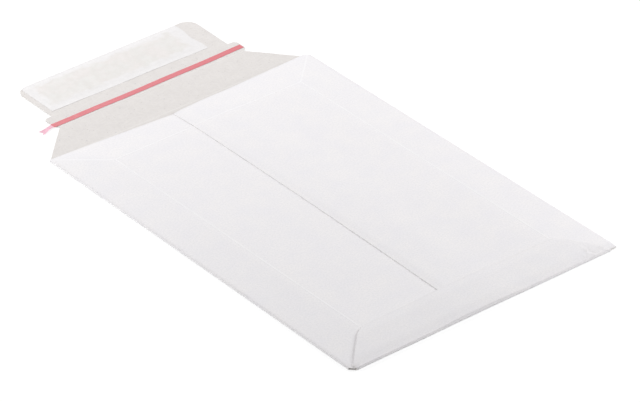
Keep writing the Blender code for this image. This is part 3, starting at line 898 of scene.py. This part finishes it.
# The closure's adhesive: a transfer film of rubber adhesive on the flap's end section, and over it a
# wider release liner of siliconised paper, flush with the flap's end. The film shows through it.
liner_width = 0.041
liner_left = 0.0046 - flap_end_half
liner_right = flap_end_half - 0.0148
liner_inset = 0.0003
liner_thickness = 0.0001
film_thickness = 0.0001
film_seat = 0.0001
liner_rest = 0.00003
liner_drape = 0.004
liner_lift = 0.00006
liner_waver = 0.0001
liner_skew = 0.0007
film_low, film_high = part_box("adhesive_band")


def flap_end_at(x):
    """B of the flap's outer end, round its corners."""
    into = np.clip(np.abs(x) - flap_end_half + flap_end_corner, 0, flap_end_corner)
    return length + flap_reach - flap_end_corner + np.sqrt(flap_end_corner**2 - into**2)


def liner_points():
    """The liner's grid: over the film, draped to the board round it, its edges a little lifted and uneven.

    The drape is a smoothstep of the distance past the film's edge, and sines of x lift and wave the edge.
    """
    corner = flap_end_corner - flap_end_half
    x = spaced(liner_left, (corner, 0.0006), (liner_right, 0.0018))
    share = spaced(0.0, (0.1, 0.01), (0.9, 0.035), (1.0, 0.01))[:, None]
    waver = liner_waver * (2 * np.sin(70 * x) + np.sin(230 * x))
    inner = length + flap_reach - liner_width + waver
    outer = flap_end_at(x) - liner_inset
    b = inner + (outer - inner) * share
    uneven = liner_skew * np.sin(9 * share + 0.4) * smoothstep((x - liner_right + 0.03) / 0.03)
    x = np.broadcast_to(x, b.shape) + uneven
    lift = liner_lift * smoothstep(1 - share / 0.16) * smoothstep(np.sin(88 * x + 1.0) + 0.35)
    right_lift = smoothstep((x - liner_right + 0.006) / 0.006) * smoothstep(np.sin(7 * share))
    beyond_x = np.abs(x - (film_low.x + film_high.x) / 2) - (film_high.x - film_low.x) / 2
    beyond_y = np.abs(b + foot_y - (film_low.y + film_high.y) / 2) - (film_high.y - film_low.y) / 2
    drape = 1 - smoothstep((np.maximum(beyond_x, beyond_y) - 0.0005) / liner_drape)
    rest = liner_rest + (2 * film_seat + film_thickness - liner_rest) * drape + liner_thickness / 2
    z = flap_top(x, b - length) + rest + lift + 0.6 * liner_lift * right_lift
    return x, b + foot_y, z


def release_paper():
    """Siliconised paper: white clear of the film, and a ragged, cloudy beige over it."""
    material, tree, shader = new_material("siliconised_release_paper")
    place = add_node(tree, "TexCoord").outputs["Object"]
    parts = add_node(tree, "SeparateXYZ", {0: place})
    ragged = ramp(tree, noise(tree, place, 150.0, 4.0, 0.6), 0.3, 0.7, -0.0030, 0.0030)
    sides = []
    for axis, low, high in ((0, film_low.x, film_high.x), (1, film_low.y, film_high.y)):
        centre, reach = (low + high) / 2, (high - low) / 2
        off = math_node(tree, "ABSOLUTE", math_node(tree, "SUBTRACT", parts.outputs[axis], centre))
        off = math_node(tree, "ADD", off, ragged)
        sides.append(ramp(tree, off, reach - 0.0020, reach + 0.0020, 1.0, 0.0))
    over_film = math_node(tree, "MULTIPLY", sides[0], sides[1])
    wet = ramp(tree, noise(tree, place, 210.0, 5.0, 0.7), 0.40, 0.60)
    tint = ramp(tree, noise(tree, place, 75.0, 3.0, 0.6), 0.4, 0.6)
    fibres = use_group(tree, paper_fibres, {"Place": place, "Scale": 800.0})
    clear = mix_colour(tree, fibres["Strands"], (0.795, 0.780, 0.783), (0.832, 0.814, 0.816))
    seen = mix_colour(tree, tint, (0.772, 0.758, 0.742), (0.790, 0.755, 0.742))
    seen = mix_colour(tree, math_node(tree, "MULTIPLY", wet, 0.5), seen, (0.735, 0.708, 0.682))
    colour = mix_colour(tree, over_film, clear, seen)
    set_surface(tree, shader, colour, ramp(tree, wet, 0.0, 1.0, 0.52, 0.62), fibres["Height"], 0.00002, 0.4)
    shader.inputs["Specular IOR Level"].default_value = 0.3
    return material


def rubber_film():
    """Clear rubber adhesive: pale amber, glossy and stringy."""
    material, tree, shader = new_material("rubber_adhesive_film")
    place = add_node(tree, "TexCoord").outputs["Object"]
    strings = noise(tree, stretched(tree, place, 20.0, (6.0, 1.0, 1.0)), 700.0, 3.0)
    colour = mix_colour(tree, ramp(tree, strings, 0.35, 0.65), (0.78, 0.72, 0.60), (0.70, 0.62, 0.47))
    set_surface(tree, shader, colour, ramp(tree, strings, 0.3, 0.7, 0.18, 0.35), strings, 0.00004, 0.6)
    return material


frame["nodes"]["adhesive_band"].data.materials.clear()
frame["nodes"]["adhesive_band"].data.materials.append(rubber_film())
liner_piece = new_piece("release_liner_sheet", *liner_points(), [release_paper()], liner_thickness)
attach(liner_piece, "closure_body")
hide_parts("release_liner")

# The table: a seamless white sweep. The camera and reflections see most of it as an even white glow,
# and it keeps a share of the envelope's soft shadow. Other light meets it as plain white lacquer.
floor_half = 6.0
floor_level = -0.0002
floor_glow = 0.7
glow_strength = 1.16


def white_sweep():
    """Plain white lacquer, mixed with the white glow where the camera or a reflection sees it."""
    material, tree, shader = new_material("white_sweep")
    shader.inputs["Base Color"].default_value = (0.90, 0.90, 0.905, 1.0)
    shader.inputs["Roughness"].default_value = 0.9
    shader.inputs["Specular IOR Level"].default_value = 0.0
    path = add_node(tree, "LightPath").outputs
    seen = math_node(tree, "MAXIMUM", path["Is Camera Ray"], path["Is Glossy Ray"])
    seen = math_node(tree, "MAXIMUM", seen, path["Is Transmission Ray"])
    glow = add_node(tree, "Emission", {"Strength": glow_strength})
    share = math_node(tree, "MULTIPLY", seen, floor_glow)
    both = add_node(tree, "MixShader", {0: share, 1: shader.outputs[0], 2: glow.outputs[0]})
    tree.links.new(both.outputs[0], tree.nodes["Material Output"].inputs["Surface"])
    return material


floor_mesh = bpy.data.meshes.new("table_sweep")
floor_signs = (-1, -1), (1, -1), (1, 1), (-1, 1)
floor_corners = [(x * floor_half, y * floor_half, floor_level) for x, y in floor_signs]
floor_mesh.from_pydata(floor_corners, [], [(0, 1, 2, 3)])
floor_mesh.materials.append(white_sweep())
floor = bpy.data.objects.new("table_sweep", floor_mesh)
bpy.context.scene.collection.objects.link(floor)

# The light: a dim even room and three soft panels set low round the envelope, one at the left of the
# mouth, one behind it and one before it on the right. The board falls off to the near left corner.
room_strength = 0.29


def white_room():
    """The room's light: dim on the envelope, and white where the camera or a reflection sees it."""
    world = bpy.data.worlds.new("white_room")
    world.use_nodes = True
    tree = world.node_tree
    path = add_node(tree, "LightPath").outputs
    seen = math_node(tree, "MAXIMUM", path["Is Camera Ray"], path["Is Glossy Ray"])
    seen = math_node(tree, "MAXIMUM", seen, path["Is Transmission Ray"])
    strength = ramp(tree, seen, 0.0, 1.0, room_strength, 1.0)
    background = tree.nodes["Background"]
    background.inputs["Color"].default_value = (1.0, 1.0, 1.0, 1.0)
    tree.links.new(strength, background.inputs["Strength"])
    bpy.context.scene.world = world


def soft_panel(name, place, aim, size, watts, colour):
    """A square area light at a place, turned to face its aim."""
    light = bpy.data.lights.new(name, "AREA")
    light.shape = "SQUARE"
    light.size = size
    light.energy = watts
    light.color = colour
    lamp = bpy.data.objects.new(name, light)
    lamp.location = place
    away = np.array(place) - np.array(aim)
    tilt = math.atan2(math.hypot(away[0], away[1]), away[2])
    lamp.rotation_euler = (tilt, 0, math.atan2(away[1], away[0]) + math.pi / 2)
    bpy.context.scene.collection.objects.link(lamp)


white_room()
soft_panel("left_panel", (-0.95, 0.55, 0.50), (-0.10, 0.10, 0.0), 0.4, 7.1, (1.0, 1.0, 1.0))
soft_panel("back_panel", (0.25, 0.80, 0.60), (0.05, 0.10, 0.0), 0.5, 4.1, (1.0, 1.0, 1.0))
soft_panel("right_panel", (0.92, -0.60, 0.58), (0.10, -0.10, 0.0), 0.5, 8.75, (1.0, 1.0, 1.0))

# The camera: a long lens about 2.9 m away, off the left of the bottom fold. It looks a third of a
# right angle down, and its place, turn, roll and lens were fitted together to the envelope's edges.
camera_place = (-1.53268, -1.96430, 1.56423)
camera_azimuth = -38.503
camera_elevation = 32.462
camera_roll = -0.608
camera_lens = 234.75

camera = bpy.data.objects.new("camera", bpy.data.cameras.new("camera"))
camera.data.sensor_width = 36.0
camera.data.lens = camera_lens
camera.data.clip_start, camera.data.clip_end = 0.1, 50.0
turn_z = Matrix.Rotation(math.radians(camera_azimuth), 4, "Z")
turn_x = Matrix.Rotation(math.radians(90 - camera_elevation), 4, "X")
roll = Matrix.Rotation(math.radians(camera_roll), 4, "Z")
camera.matrix_world = Matrix.Translation(camera_place) @ turn_z @ turn_x @ roll
bpy.context.scene.collection.objects.link(camera)
bpy.context.scene.camera = camera
bpy.context.scene.view_settings.view_transform = "Standard"
